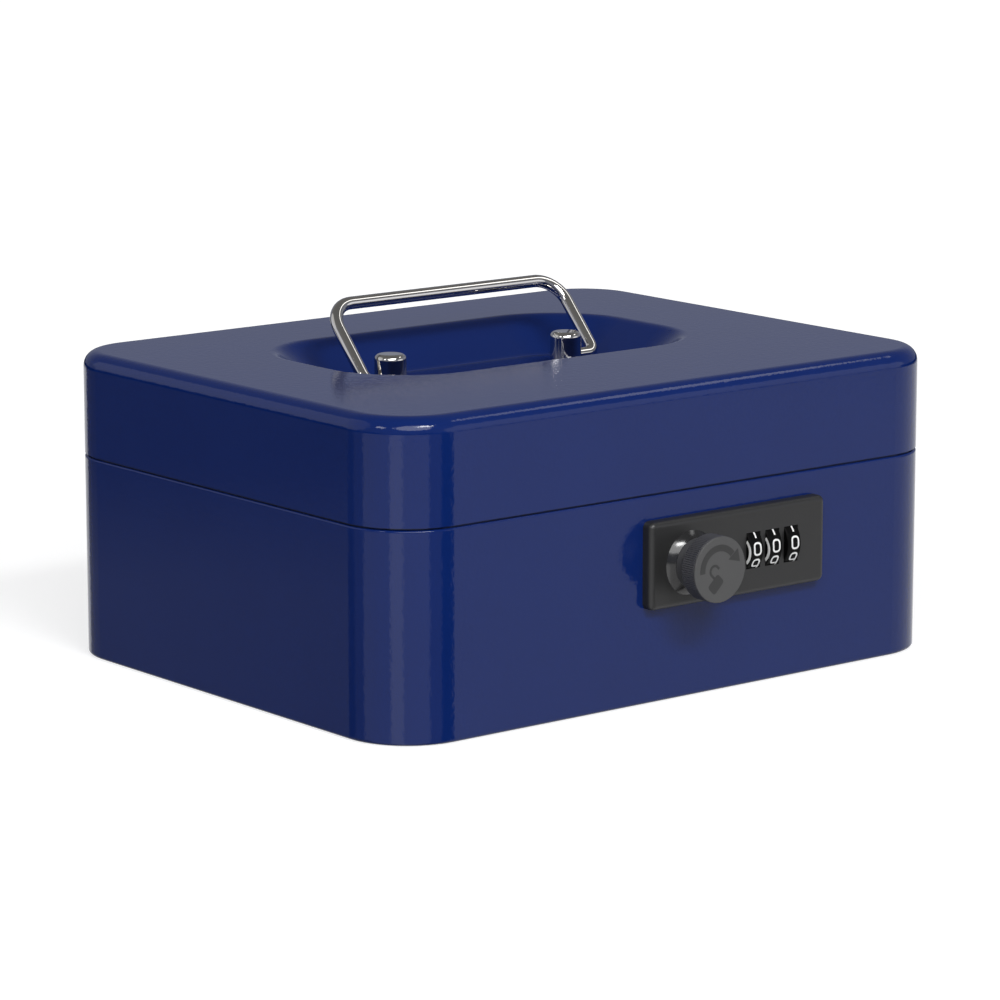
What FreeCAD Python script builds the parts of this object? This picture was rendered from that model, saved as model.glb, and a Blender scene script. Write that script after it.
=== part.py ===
"""Cash box with a combination lock, built as separate pieces.

Frame: millimetres, +Z up, origin in the middle of the flat underside.
The front with the lock faces -Y, X runs along the front, and the hinges are at +Y.
"""
import FreeCAD, Part
import math
import os

V = FreeCAD.Vector

# Box
box_width = 200.0
box_depth = 158.0
box_height = 88.0
corner_radius = 20.0
sheet = 0.9
seam_height = 58.1
seam_gap = 0.6
rim_height = 6.0
rim_clearance = 0.4
lid_edge_radius = 4.4
base_edge_radius = 1.0
seam_edge_radius = 0.6
fit_gap = 0.05

# Handle: posts and wire bail
post_spacing = 64.6
post_y = 10.3
post_radius = 4.6
post_edge_radius = 1.6
tenon_radius = 2.5
post_washer_radius = 6.0
post_washer_thickness = 0.8
peen_radius = 3.4
peen_height = 1.0
wire_radius = 1.86
bail_length = 26.8
bail_lean = 42.5
bail_corner_radius = 8.2
bail_elbow_radius = 2.7
bail_leg_offset = 5.2
bail_pin_reach = 5.1
bail_shift = 1.2
bail_end_play = 0.8
bail_clearance = 0.08
bail_pivot_lift = 3.0

# Handle well: how far its rim lies beyond the folded bail, and its dished section
well_end_room = 18.4
well_side_room = 8.2
well_back_shift = 1.1
well_corner_radius = 26.0
well_depth = 10.4
well_slope_run = 12.5
well_rim_radius = 4.0
well_floor_radius = 3.0

# Back hinges
hinge_spacing = 110.0
hinge_length = 36.0
knuckle_radius = 1.9
knuckle_gap = 0.3
hinge_pin_radius = 1.0
hinge_pin_overhang = 0.5
hinge_wall_gap = 0.3
leaf_thickness = 1.0
leaf_height = 13.0
leaf_corner_radius = 2.0
leaf_notch_gap = 0.4
rivet_radius = 1.5
rivet_head_radius = 2.7
rivet_head_height = 1.1
rivet_tail_radius = 2.3
rivet_tail_height = 0.8
rivet_spread = 22.0
rivet_offset = 9.5

# Lock plate: its middle height, and its ends measured from the knob's axis and the last dial
lock_x = 0.0
lock_z = 39.0
bezel_knob_margin = 14.6
bezel_dial_margin = 13.0
bezel_height = 24.6
bezel_thickness = 3.5
bezel_corner_radius = 1.9
bezel_edge_radius = 1.6

# Number dials
dial_count = 3
dial_first_offset = 22.85
dial_pitch = 7.05
dial_radius = 7.6
dial_width = 4.8
dial_reach = 1.7
dial_edge = 0.25
dial_clearance = 0.2
gate_radius = 3.6
gate_width = 2.0
gate_notch_depth = 1.4
gate_relief = 0.3
shaft_radius = 1.5
shaft_seat = 1.2

# Knob and what turns with it
knob_drop = 0.45
collar_radius = 9.1
collar_height = 1.75
collar_lean = 42.0
collar_roll = 55.0
collar_bore_gap = 0.3
knob_gap = 0.2
neck_radius = 7.2
neck_height = 4.25
grip_radius = 9.25
grip_height = 5.1
grip_chamfer = 0.3
knurl_count = 96
knurl_depth = 0.22
face_radius = 9.2
face_thickness = 0.5
face_edge_radius = 0.2
spindle_radius = 3.0
spindle_socket = 3.2
tenon_end_radius = 2.0
cam_thickness = 2.0
cam_radius = 5.2
cam_nose_radius = 10.5
cam_nose_half_angle = 12.0
cam_nose_turn = 45.0
cam_strike_room = 1.05
spindle_washer_radius = 5.0
spindle_washer_thickness = 0.8
nut_across_flats = 7.0
nut_thickness = 3.2
spindle_thread_out = 1.0

# Lock housing behind the front wall
housing_depth = 15.5
housing_wall = 1.5
housing_inset = 0.6
housing_left_block = 5.0
housing_rib = 4.0
screw_radius = 1.2
screw_head_radius = 2.3
screw_head_height = 1.6
screw_slot_width = 0.6
screw_slot_depth = 0.7
screw_inset = 3.1
screw_bite = 2.0
screw_wall_gap = 0.3

# Locking bar and detent spring
bar_thickness = 1.8
bar_height = 2.2
bar_travel = 1.2
bar_gap = 0.3
bar_guide_gap = 0.15
bar_finger_width = 1.4
bar_arm_reach = 6.5
spring_thickness = 0.4
spring_tail = 6.0
spring_finger_width = 1.4
spring_foot = 1.0

# Strike on the lid
strike_thickness = 1.2
strike_width = 14.0
strike_tongue_width = 12.0
strike_lip_width = 7.0
strike_rim_room = 1.2
strike_weld_height = 9.0
strike_step_room = 1.1
strike_lip_length = 4.4
strike_lip_height = 7.2
strike_slot_room = 1.0

# Coin tray and its shelves
tray_clearance = 3.8
tray_front_room = 4.0
tray_bottom = 33.0
tray_height = 24.0
tray_wall = 1.6
tray_front_corner = 4.6
tray_cup_count = 4
tray_cup_depth = 48.0
tray_cup_corner = 3.0
tray_cup_floor_radius = 2.5
tray_bin_count = 3
tray_bin_corner = 3.0
tray_bin_floor_radius = 2.5
tray_notch_radius = 7.0
bracket_sheet = 1.0
bracket_height = 12.0
bracket_shelf = 12.0
bracket_length = 90.0
bracket_y = 10.0

# Places that follow from the sizes above
half_width = box_width / 2
half_depth = box_depth / 2
rim_top = seam_height + rim_height
lid_bottom = seam_height + seam_gap
rim_inset = sheet + rim_clearance
rim_inner_inset = rim_inset + sheet
well_floor = box_height - well_depth
bail_half_span = post_spacing / 2 + post_radius + bail_leg_offset
bail_pivot_z = well_floor + bail_pivot_lift
well_half_length = bail_half_span + well_end_room
well_half_width = bail_length + well_side_room
well_y = post_y - well_back_shift
hinge_y = half_depth + hinge_wall_gap + knuckle_radius
hinge_z = seam_height + seam_gap / 2
wall_front = -half_depth
wall_inside = wall_front + sheet
bezel_front = wall_front - bezel_thickness
knob_z = lock_z - knob_drop
dial_xs = [lock_x + dial_first_offset + i * dial_pitch for i in range(dial_count)]
dial_axis_y = bezel_front - dial_reach + dial_radius
bezel_x0 = lock_x - bezel_knob_margin
bezel_x1 = dial_xs[-1] + bezel_dial_margin
bezel_z0 = lock_z - bezel_height / 2
bezel_z1 = lock_z + bezel_height / 2
gate_side = dial_width / 2 + gate_width
dial_side_gap = dial_pitch - dial_width - gate_width
cell_x0 = dial_xs[0] - dial_width / 2 - dial_side_gap
cell_x1 = dial_xs[-1] + gate_side + dial_side_gap
shaft_x0 = cell_x0 - housing_rib + shaft_seat / 2
shaft_x1 = cell_x1 + shaft_seat
housing_back = wall_inside + housing_depth
housing_floor_y = housing_back - housing_wall
housing_z0 = bezel_z0 + housing_inset
housing_z1 = bezel_z1 - housing_inset
housing_x0 = bezel_x0 + housing_inset
housing_x1 = bezel_x1 - housing_inset
housing_roof = housing_z1 - housing_wall
strike_front = wall_front + rim_inner_inset + strike_rim_room
strike_back = strike_front + strike_thickness
cam_front = strike_back + cam_strike_room
cam_back = cam_front + cam_thickness
nut_front = cam_back + spindle_washer_thickness
nut_back = nut_front + nut_thickness
spindle_end = nut_back + spindle_thread_out
collar_front = bezel_front - collar_height
neck_back = collar_front - knob_gap
grip_back = neck_back - neck_height
grip_front = grip_back - grip_height
bar_front = dial_axis_y + dial_radius + bar_gap + bar_travel
bar_back = bar_front + bar_thickness
screw_points = [(x, z)
                for x in (bezel_x0 + screw_inset, bezel_x1 - screw_inset)
                for z in (bezel_z0 + screw_inset + housing_inset, bezel_z1 - screw_inset - housing_inset)]

pieces = {}


def outline(x0, x1, y0, y1, radii):
    """Rectangle in the XY plane with a radius at each corner, in order from (x0, y0) anticlockwise."""
    corners = [(x0, y0, 1, 1), (x1, y0, -1, 1), (x1, y1, -1, -1), (x0, y1, 1, -1)]
    edges = []
    ends = []
    for i, ((x, y, sx, sy), r) in enumerate(zip(corners, radii)):
        along_x = V(x + sx * r, y, 0)
        along_y = V(x, y + sy * r, 0)
        start, end = (along_y, along_x) if i % 2 == 0 else (along_x, along_y)
        bulge = r * (1 - math.sqrt(0.5))
        middle = V(x + sx * bulge, y + sy * bulge, 0)
        ends.append((start, end))
        if r > 0:
            edges.append(Part.Arc(start, middle, end).toShape())
    for i in range(4):
        edges.append(Part.LineSegment(ends[i][1], ends[(i + 1) % 4][0]).toShape())
    return Part.Wire(Part.__sortEdges__(edges))


def block(x0, x1, y0, y1, z0, z1, radius=0.0):
    """Upright block whose vertical edges are rounded by one radius or by a list of four."""
    radii = radius if isinstance(radius, (list, tuple)) else [radius] * 4
    face = Part.Face(outline(x0, x1, y0, y1, radii))
    face.translate(V(0, 0, z0))
    return face.extrude(V(0, 0, z1 - z0))


def front_block(x0, x1, z0, z1, y0, y1, radius=0.0):
    """Block that lies against the front: its outline is in the XZ plane and it runs from y0 to y1."""
    shape = block(x0, x1, z0, z1, -y1, -y0, radius)
    shape.rotate(V(0, 0, 0), V(1, 0, 0), 90)
    return shape


def rod(radius, start, end):
    """Cylinder between two points."""
    direction = end - start
    return Part.makeCylinder(radius, direction.Length, start, direction)


def rod_y(radius, x, z, y0, y1):
    """Cylinder along Y."""
    return rod(radius, V(x, y0, z), V(x, y1, z))


def rod_x(radius, y, z, x0, x1):
    """Cylinder along X."""
    return rod(radius, V(x0, y, z), V(x1, y, z))


def flat_edges(shape, axis, value):
    """Edges that lie wholly in the plane axis = value."""
    near = 1e-4
    found = []
    for edge in shape.Edges:
        low = getattr(edge.BoundBox, axis + "Min")
        high = getattr(edge.BoundBox, axis + "Max")
        if abs(low - value) < near and abs(high - value) < near:
            found.append(edge)
    return found


def prism(points, direction):
    """Solid with a polygon end, swept straight along a direction."""
    return Part.Face(Part.makePolygon(points + points[:1])).extrude(direction)


def turned(profile, centre, axis):
    """Solid of revolution of a closed wire about an axis."""
    return Part.Face(profile).revolve(centre, axis, 360)


def box_form(inset, z0, z1):
    """The box's plan, drawn in by an inset, as an upright solid."""
    w = half_width - inset
    d = half_depth - inset
    return block(-w, w, -d, d, z0, z1, corner_radius - inset)


def dish(offset):
    """The space above the handle well's skin, drawn back from its upper face by an offset.

    The section runs from the floor through a fillet, a sloping wall and a rolled rim. It is turned
    about the four corner axes and run straight between them.
    """
    slope = math.atan2(well_depth, well_slope_run)
    inner = well_corner_radius - well_slope_run
    tangent = math.tan(slope / 2)
    rim_centre = V(well_corner_radius + well_rim_radius * tangent, 0, box_height - well_rim_radius)
    floor_centre = V(inner - well_floor_radius * tangent, 0, well_floor + well_floor_radius)
    rim_r = well_rim_radius - offset
    floor_r = well_floor_radius + offset

    def around(centre, radius, angle):
        return V(centre.x + radius * math.sin(angle), 0, centre.z + radius * math.cos(angle))

    floor_points = [around(floor_centre, floor_r, math.pi - a) for a in (0, slope / 2, slope)]
    rim_points = [around(rim_centre, rim_r, -a) for a in (slope, slope / 2, 0)]
    above = box_height + sheet
    section = [
        Part.LineSegment(V(0, 0, well_floor - offset), floor_points[0]).toShape(),
        Part.Arc(*floor_points).toShape(),
        Part.LineSegment(floor_points[2], rim_points[0]).toShape(),
        Part.Arc(*rim_points).toShape(),
        Part.LineSegment(rim_points[2], V(rim_points[2].x, 0, above)).toShape(),
        Part.LineSegment(V(rim_points[2].x, 0, above), V(0, 0, above)).toShape(),
        Part.LineSegment(V(0, 0, above), V(0, 0, well_floor - offset)).toShape(),
    ]
    face = Part.Face(Part.Wire(section))
    dx = well_half_length - well_corner_radius
    dy = well_half_width - well_corner_radius
    parts = []
    for i, (sx, sy) in enumerate(((1, 1), (-1, 1), (-1, -1), (1, -1))):
        quarter = face.copy()
        quarter.rotate(V(0, 0, 0), V(0, 0, 1), 90 * i)
        quarter = quarter.revolve(V(0, 0, 0), V(0, 0, 1), 90)
        quarter.translate(V(sx * dx, well_y + sy * dy, 0))
        parts.append(quarter)
        side = face.copy()
        side.rotate(V(0, 0, 0), V(0, 0, 1), 90 * i)
        start = V(sx * dx, well_y + sy * dy, 0)
        side.translate(start)
        run = V(0, -2 * dy * sy, 0) if i % 2 == 0 else V(-2 * dx * sx, 0, 0)
        parts.append(side.extrude(run))
    core = block(-dx, dx, well_y - dy, well_y + dy, well_floor - offset, above)
    return core.multiFuse(parts).removeSplitter()


def base_shell():
    """Sheet steel tray with a shoulder at the seam and a rim that stands up inside the lid."""
    outside = box_form(0, 0, seam_height)
    outside = outside.makeFillet(base_edge_radius, flat_edges(outside, "Z", 0))
    outside = outside.makeFillet(seam_edge_radius, flat_edges(outside, "Z", seam_height))
    outside = outside.fuse(box_form(rim_inset, seam_height - sheet, rim_top))
    hollow = box_form(sheet, sheet, seam_height - sheet)
    hollow = hollow.fuse(box_form(rim_inner_inset, seam_height - 2 * sheet, rim_top + sheet))
    shell = outside.cut(hollow)
    through = (wall_front - sheet, wall_inside + sheet)
    dial_hole = dial_radius + 2 * dial_clearance
    cuts = [
        front_block(shaft_x0 - fit_gap, shaft_x1 + fit_gap, lock_z - dial_hole, lock_z + dial_hole, *through),
        rod_y(spindle_radius + collar_bore_gap, lock_x, knob_z, *through),
    ]
    for x, z in screw_points:
        cuts.append(rod_y(screw_radius + screw_wall_gap, x, z, *through))
    for x, z in rivet_points(-1):
        cuts.append(rod_y(rivet_radius + fit_gap, x, z, half_depth - 2 * sheet, half_depth + sheet))
    return shell.cut(cuts)


def lid_shell():
    """Sheet steel lid with a rolled top edge and the dished handle well."""
    outside = box_form(0, lid_bottom, box_height)
    outside = outside.makeFillet(lid_edge_radius, flat_edges(outside, "Z", box_height))
    hollow = box_form(sheet, lid_bottom - sheet, box_height - sheet)
    hollow = hollow.makeFillet(lid_edge_radius - sheet, flat_edges(hollow, "Z", box_height - sheet))
    shell = outside.cut(dish(0)).cut(hollow.cut(dish(sheet)))
    cuts = []
    for side in (-1, 1):
        x = side * post_spacing / 2
        below = V(x, post_y, well_floor - 2 * sheet)
        above = V(x, post_y, well_floor + sheet)
        cuts.append(rod(tenon_radius + fit_gap, below, above))
    for x, z in rivet_points(1):
        cuts.append(rod_y(rivet_radius + fit_gap, x, z, half_depth - 2 * sheet, half_depth + sheet))
    return shell.cut(cuts)


def rivet_points(side):
    """Places of the rivets of both hinges: side -1 is the base leaf, 1 the lid leaf."""
    z = hinge_z + side * rivet_offset
    return [(hinge + end * rivet_spread / 2, z)
            for hinge in (-hinge_spacing / 2, hinge_spacing / 2) for end in (-1, 1)]


def hinge_leaf(centre_x, side):
    """Leaf of a butt hinge: the base leaf has the outer two knuckles, the lid leaf the middle one."""
    knuckle_length = hinge_length / 3
    x0 = centre_x - hinge_length / 2
    x1 = centre_x + hinge_length / 2
    inner = (centre_x - knuckle_length / 2, centre_x + knuckle_length / 2)
    plate_z = sorted((hinge_z, hinge_z + side * leaf_height))
    r = leaf_corner_radius
    radii = [r, r, 0, 0] if side < 0 else [0, 0, r, r]
    leaf = front_block(x0, x1, plate_z[0], plate_z[1], half_depth, half_depth + leaf_thickness, radii)
    spans = [inner] if side > 0 else [(x0, inner[0]), (inner[1], x1)]
    gaps = [(x0, inner[0]), (inner[1], x1)] if side > 0 else [inner]
    reach = knuckle_radius + leaf_notch_gap
    notches = []
    for a, b in gaps:
        a = a - knuckle_gap / 2
        b = b + knuckle_gap / 2
        notches.append(block(a, b, half_depth - sheet, hinge_y, hinge_z - reach, hinge_z + reach))
    leaf = leaf.cut(notches)
    barrels = []
    for a, b in spans:
        a = a if a == x0 else a + knuckle_gap / 2
        b = b if b == x1 else b - knuckle_gap / 2
        barrels.append(rod_x(knuckle_radius, hinge_y, hinge_z, a, b))
    leaf = leaf.multiFuse(barrels)
    bores = [rod_x(hinge_pin_radius + fit_gap, hinge_y, hinge_z, x0, x1)]
    for x, z in rivet_points(side):
        if x0 < x < x1:
            bores.append(rod_y(rivet_radius + fit_gap, x, z, half_depth - sheet, hinge_y))
    return leaf.cut(bores)


def rivet(x, z):
    """Rivet along Y: domed head on the leaf, shank through leaf and wall, flat tail inside."""
    seat = half_depth + leaf_thickness
    tail = half_depth - sheet
    crown = seat + rivet_head_height
    dome = (rivet_head_radius ** 2 + rivet_head_height ** 2) / (2 * rivet_head_height)
    half_turn = math.asin(rivet_head_radius / dome) / 2
    shoulder = V(dome * math.sin(half_turn), crown - dome * (1 - math.cos(half_turn)), 0)
    head = [
        Part.LineSegment(V(0, seat, 0), V(rivet_head_radius, seat, 0)).toShape(),
        Part.Arc(V(rivet_head_radius, seat, 0), shoulder, V(0, crown, 0)).toShape(),
        Part.LineSegment(V(0, crown, 0), V(0, seat, 0)).toShape(),
    ]
    shape = turned(Part.Wire(head), V(0, 0, 0), V(0, 1, 0))
    shape = shape.fuse(rod_y(rivet_radius, 0, 0, tail, seat))
    shape = shape.fuse(rod_y(rivet_tail_radius, 0, 0, tail - rivet_tail_height, tail))
    shape.translate(V(x, 0, z))
    return shape.removeSplitter()


def handle_post(side):
    """Post with a rounded top, a cross hole from its outer side, and a tenon peened under the lid."""
    x = side * post_spacing / 2
    under = well_floor - sheet
    post = rod(post_radius, V(x, post_y, well_floor), V(x, post_y, box_height))
    post = post.makeFillet(post_edge_radius, flat_edges(post, "Z", box_height))
    peen_top = under - post_washer_thickness
    post = post.fuse(rod(tenon_radius, V(x, post_y, peen_top), V(x, post_y, well_floor)))
    post = post.fuse(rod(peen_radius, V(x, post_y, peen_top - peen_height), V(x, post_y, peen_top)))
    hole_depth = bail_pin_reach + abs(bail_shift) + bail_end_play
    mouth = x + side * post_radius
    hole = rod_x(wire_radius + bail_clearance, post_y, bail_pivot_z,
                 *sorted((mouth - side * hole_depth, mouth + side * post_radius)))
    return post.cut(hole).removeSplitter()


def post_washer(side):
    """Flat washer between the lid's underside and the peened end."""
    x = side * post_spacing / 2
    top = well_floor - sheet
    bottom = top - post_washer_thickness
    ring = rod(post_washer_radius, V(x, post_y, bottom), V(x, post_y, top))
    return ring.cut(rod(tenon_radius + fit_gap, V(x, post_y, bottom), V(x, post_y, top)))


def carry_handle():
    """Wire bail in one plane: two pins along X, tight elbows, two legs, rounded corners and a crossbar."""
    half = bail_half_span
    pin = post_spacing / 2 + post_radius - bail_pin_reach
    elbow = bail_elbow_radius
    corner = bail_corner_radius
    bend = 1 - math.sqrt(0.5)
    lean = math.radians(bail_lean)

    def at(x, length):
        return V(x + bail_shift, post_y + length * math.sin(lean), bail_pivot_z + length * math.cos(lean))

    def half_path(side):
        return [
            Part.LineSegment(at(side * pin, 0), at(side * (half - elbow), 0)),
            Part.Arc(at(side * (half - elbow), 0), at(side * (half - elbow * bend), elbow * bend),
                     at(side * half, elbow)),
            Part.LineSegment(at(side * half, elbow), at(side * half, bail_length - corner)),
            Part.Arc(at(side * half, bail_length - corner),
                     at(side * (half - corner * bend), bail_length - corner * bend),
                     at(side * (half - corner), bail_length)),
        ]

    crossbar = Part.LineSegment(at(-(half - corner), bail_length), at(half - corner, bail_length))
    path = half_path(-1) + [crossbar] + half_path(1)
    wire = Part.Wire(Part.__sortEdges__([e.toShape() for e in path]))
    section = Part.Wire(Part.makeCircle(wire_radius, at(-pin, 0), V(1, 0, 0)))
    return wire.makePipeShell([section], True, True)


def lock_bezel():
    """Moulded plate on the front wall with windows for the dials and a bearing for the knob's spindle."""
    plate = front_block(bezel_x0, bezel_x1, bezel_z0, bezel_z1, bezel_front, wall_front, bezel_corner_radius)
    plate = plate.makeFillet(bezel_edge_radius, flat_edges(plate, "Y", bezel_front))
    cuts = [rod_y(spindle_radius + fit_gap, lock_x, knob_z, bezel_front - sheet, wall_front + sheet)]
    side = dial_width / 2 + dial_clearance
    for x in dial_xs:
        cuts.append(rod_x(dial_radius + dial_clearance, dial_axis_y, lock_z, x - side, x + side))
        cuts.append(rod_x(gate_radius + gate_relief, dial_axis_y, lock_z, x, x + gate_side + dial_clearance))
    bite = wall_front - screw_bite - fit_gap
    for x, z in screw_points:
        cuts.append(rod_y(screw_radius + fit_gap, x, z, bite, wall_front + sheet))
    return plate.cut(cuts)


def dial_wheel(x):
    """Number wheel that turns on the dial shaft."""
    half = dial_width / 2
    wheel = rod_x(dial_radius, dial_axis_y, lock_z, x - half, x + half)
    rims = [e for e in wheel.Edges if e.Length > dial_radius and e.BoundBox.XLength < fit_gap]
    wheel = wheel.makeChamfer(dial_edge, rims)
    return wheel.cut(rod_x(shaft_radius + fit_gap, dial_axis_y, lock_z, x - half, x + half))


def dial_gate(x):
    """Ring beside a number wheel, with a gate that faces the locking bar when the dial shows nought."""
    x0 = x + dial_width / 2
    ring = rod_x(gate_radius, dial_axis_y, lock_z, x0, x0 + gate_width)
    bore = rod_x(shaft_radius + fit_gap, dial_axis_y, lock_z, x0, x0 + gate_width)
    back = dial_axis_y + gate_radius
    half = bar_height / 2 + bar_guide_gap
    gate = block(x0, x0 + gate_width, back - gate_notch_depth, back + gate_notch_depth,
                 lock_z - half, lock_z + half)
    return ring.cut([bore, gate])


def knob_collar():
    """Domed ring on the plate, whose side leans in at the plate and more towards its flat front."""
    bore = spindle_radius + collar_bore_gap
    lean = math.radians(collar_lean)
    roll = math.radians(collar_roll)
    dome_radius = collar_height / (math.sin(roll) - math.sin(lean))
    dome = [V(collar_radius + dome_radius * (math.cos(angle) - math.cos(lean)),
              bezel_front - dome_radius * (math.sin(angle) - math.sin(lean)), 0)
            for angle in (lean, (lean + roll) / 2, roll)]
    corners = [dome[2], V(bore, collar_front, 0), V(bore, bezel_front, 0), dome[0]]
    edges = [Part.LineSegment(a, b).toShape() for a, b in zip(corners, corners[1:])]
    ring = turned(Part.Wire([Part.Arc(*dome).toShape()] + edges), V(0, 0, 0), V(0, 1, 0))
    ring.translate(V(lock_x, 0, knob_z))
    return ring


def knob():
    """Neck and straight-knurled grip in one, with a socket for the spindle."""
    tips = []
    for i in range(2 * knurl_count):
        angle = math.pi * i / knurl_count
        r = grip_radius - (i % 2) * knurl_depth
        tips.append(V(r * math.cos(angle), grip_front, r * math.sin(angle)))
    grip = prism(tips, V(0, grip_height, 0))
    low = grip_radius - grip_chamfer - knurl_depth
    points = [V(0, grip_front, 0), V(low, grip_front, 0), V(grip_radius, grip_front + grip_chamfer, 0),
              V(grip_radius, grip_back - grip_chamfer, 0), V(low, grip_back, 0), V(0, grip_back, 0)]
    grip = grip.common(turned(Part.makePolygon(points + points[:1]), V(0, 0, 0), V(0, 1, 0)))
    grip = grip.fuse(rod_y(neck_radius, 0, 0, grip_back, neck_back))
    grip = grip.cut(rod_y(spindle_radius + fit_gap, 0, 0, grip_back - spindle_socket - fit_gap, neck_back))
    grip.translate(V(lock_x, 0, knob_z))
    return grip


def knob_face():
    """Flat disc on the front of the grip."""
    disc = rod_y(face_radius, lock_x, knob_z, grip_front - face_thickness, grip_front)
    return disc.makeFillet(face_edge_radius, flat_edges(disc, "Y", grip_front - face_thickness))


def knob_spindle():
    """Spindle from the knob's socket through the plate, thinner where it takes cam, washer and nut."""
    thick = rod_y(spindle_radius, lock_x, knob_z, grip_back - spindle_socket, cam_front)
    return thick.fuse(rod_y(tenon_end_radius, lock_x, knob_z, cam_front, spindle_end)).removeSplitter()


def latch_cam():
    """Disc with a nose that swings up towards the strike."""
    disc = rod_y(cam_radius, 0, 0, cam_front, cam_back)
    sweep = math.radians(cam_nose_half_angle)
    tip = [V(cam_nose_radius * math.sin(a), cam_front, cam_nose_radius * math.cos(a))
           for a in (-sweep, 0, sweep)]
    root = [V(cam_nose_radius * math.sin(a), cam_front, 0) for a in (sweep, -sweep)]
    edges = [Part.Arc(*tip).toShape()]
    for a, b in ((tip[2], root[0]), (root[0], root[1]), (root[1], tip[0])):
        edges.append(Part.LineSegment(a, b).toShape())
    nose = Part.Face(Part.Wire(edges)).extrude(V(0, cam_thickness, 0))
    nose.rotate(V(0, 0, 0), V(0, 1, 0), cam_nose_turn)
    cam = disc.fuse(nose).removeSplitter()
    cam = cam.cut(rod_y(tenon_end_radius + fit_gap, 0, 0, cam_front, cam_back))
    cam.translate(V(lock_x, 0, knob_z))
    return cam


def spindle_washer():
    """Washer between cam and nut."""
    ring = rod_y(spindle_washer_radius, lock_x, knob_z, cam_back, nut_front)
    return ring.cut(rod_y(tenon_end_radius + fit_gap, lock_x, knob_z, cam_back, nut_front))


def spindle_nut():
    """Hexagon nut on the spindle's threaded end."""
    reach = nut_across_flats / math.sqrt(3)
    points = []
    for i in range(6):
        angle = math.pi * i / 3
        points.append(V(lock_x + reach * math.cos(angle), nut_front, knob_z + reach * math.sin(angle)))
    nut = prism(points, V(0, nut_thickness, 0))
    return nut.cut(rod_y(tenon_end_radius + fit_gap, lock_x, knob_z, nut_front, nut_back))


def lock_housing():
    """Moulded tub against the inside of the front wall: one cell for the cam, one for the dials."""
    tub = front_block(housing_x0, housing_x1, housing_z0, housing_z1, wall_inside, housing_back,
                      bezel_corner_radius)
    low = housing_z0 + housing_wall
    cam_cell = block(housing_x0 + housing_left_block, cell_x0 - housing_rib, wall_inside, housing_floor_y,
                     low, housing_roof)
    dial_cell = block(cell_x0, cell_x1, wall_inside, housing_floor_y, low, housing_roof)
    mouth = block(lock_x - strike_width / 2 - strike_slot_room, lock_x + strike_width / 2 + strike_slot_room,
                  wall_inside, strike_back + strike_lip_length + strike_slot_room, housing_roof, housing_z1)
    half = bar_height / 2 + bar_guide_gap
    guide = block(cell_x0 - housing_rib, shaft_x1, bar_front - bar_travel - bar_gap, housing_floor_y,
                  lock_z - half, lock_z + half)
    seat_r = shaft_radius + fit_gap
    seat = rod_x(seat_r, dial_axis_y, lock_z, shaft_x0 - fit_gap, shaft_x1 + fit_gap)
    slot = block(shaft_x0 - fit_gap, shaft_x1 + fit_gap, wall_inside, dial_axis_y,
                 lock_z - seat_r, lock_z + seat_r)
    cuts = [cam_cell, dial_cell, mouth, guide, seat, slot]
    for x, z in screw_points:
        cuts.append(rod_y(screw_radius + fit_gap, x, z, wall_inside, housing_back))
    return tub.cut(cuts)


def lock_screw(x, z):
    """Slotted screw from inside the box, through housing and wall into the plate."""
    screw = rod_y(screw_radius, x, z, wall_front - screw_bite, housing_back)
    top = housing_back + screw_head_height
    screw = screw.fuse(rod_y(screw_head_radius, x, z, housing_back, top)).removeSplitter()
    slot = block(x - screw_head_radius, x + screw_head_radius, top - screw_slot_depth, top + screw_slot_depth,
                 z - screw_slot_width / 2, z + screw_slot_width / 2)
    return screw.cut(slot)


def locking_bar():
    """Comb behind the dials: a spine in the housing's guides and one finger for each gate ring."""
    low = lock_z - bar_height / 2
    high = lock_z + bar_height / 2
    spine = block(lock_x + bar_arm_reach, shaft_x1 - fit_gap, bar_front, bar_back, low, high)
    tip = dial_axis_y + gate_radius + bar_gap + bar_travel
    fingers = []
    for x in dial_xs:
        middle = x + dial_width / 2 + gate_width / 2
        fingers.append(block(middle - bar_finger_width / 2, middle + bar_finger_width / 2,
                             tip, bar_front, low, high))
    return spine.multiFuse(fingers).removeSplitter()


def detent_spring():
    """Leaf spring under the housing's roof with a bent finger over each gate ring."""
    t = spring_thickness
    bend_y = dial_axis_y + gate_radius + bar_gap
    tail_y = bend_y + spring_tail
    foot_z = lock_z + gate_radius + bar_gap
    foot_back = dial_axis_y + spring_foot
    foot_front = dial_axis_y - spring_foot
    strip = block(cell_x0 + bar_gap, cell_x1 - bar_gap, bend_y, tail_y, housing_roof - t, housing_roof)
    section = [(bend_y, housing_roof - t), (foot_back, foot_z), (foot_front, foot_z),
               (foot_front, foot_z + t), (foot_back, foot_z + t), (bend_y, housing_roof)]
    fingers = []
    for x in dial_xs:
        x0 = x + dial_width / 2 + (gate_width - spring_finger_width) / 2
        fingers.append(prism([V(x0, y, z) for y, z in section], V(spring_finger_width, 0, 0)))
    return strip.multiFuse(fingers).removeSplitter()


def lid_strike():
    """Plate welded inside the lid's front wall, stepped past the base's rim, with a lip for the cam."""
    t = strike_thickness
    step = rim_top + strike_step_room
    top = step + t + strike_weld_height
    lip_z = lock_z + strike_lip_height
    wall = wall_inside
    half = strike_width / 2
    tongue = strike_tongue_width / 2
    lip = strike_lip_width / 2
    parts = [
        block(lock_x - half, lock_x + half, wall, wall + t, step, top),
        block(lock_x - half, lock_x + half, wall, strike_back, step, step + t),
        block(lock_x - tongue, lock_x + tongue, strike_front, strike_back, lip_z, step + t),
        block(lock_x - lip, lock_x + lip, strike_front, strike_back + strike_lip_length, lip_z, lip_z + t),
    ]
    return parts[0].multiFuse(parts[1:]).removeSplitter()


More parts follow.
